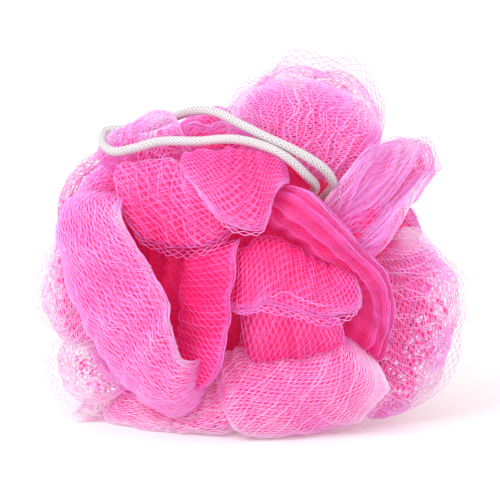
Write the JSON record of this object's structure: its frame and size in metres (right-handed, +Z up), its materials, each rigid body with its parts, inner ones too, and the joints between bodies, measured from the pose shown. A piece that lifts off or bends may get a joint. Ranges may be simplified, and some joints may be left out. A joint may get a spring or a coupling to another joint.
{
  "type": "bath sponge",
  "caption": "Round bath puff of gathered nylon net with deep overlapping folds, and a hanging loop of braided white cord laid over its top.",
  "frame": {"origin": "middle of the net's footprint, on the surface that it rests on", "axes": "+Z up, -Y towards the viewer of the picture, +X to that viewer's right"},
  "size_m": [0.1302, 0.1136, 0.1097],
  "materials": {
    "net": "soft sheen",
    "cord": "matte braid",
    "tie": "matte"
  },
  "bodies": {
    "root": {"gathered_net": "net", "hanging_cord": "cord", "cord_knot": "cord", "waist_tie": "tie"}
  },
  "joints": []
}
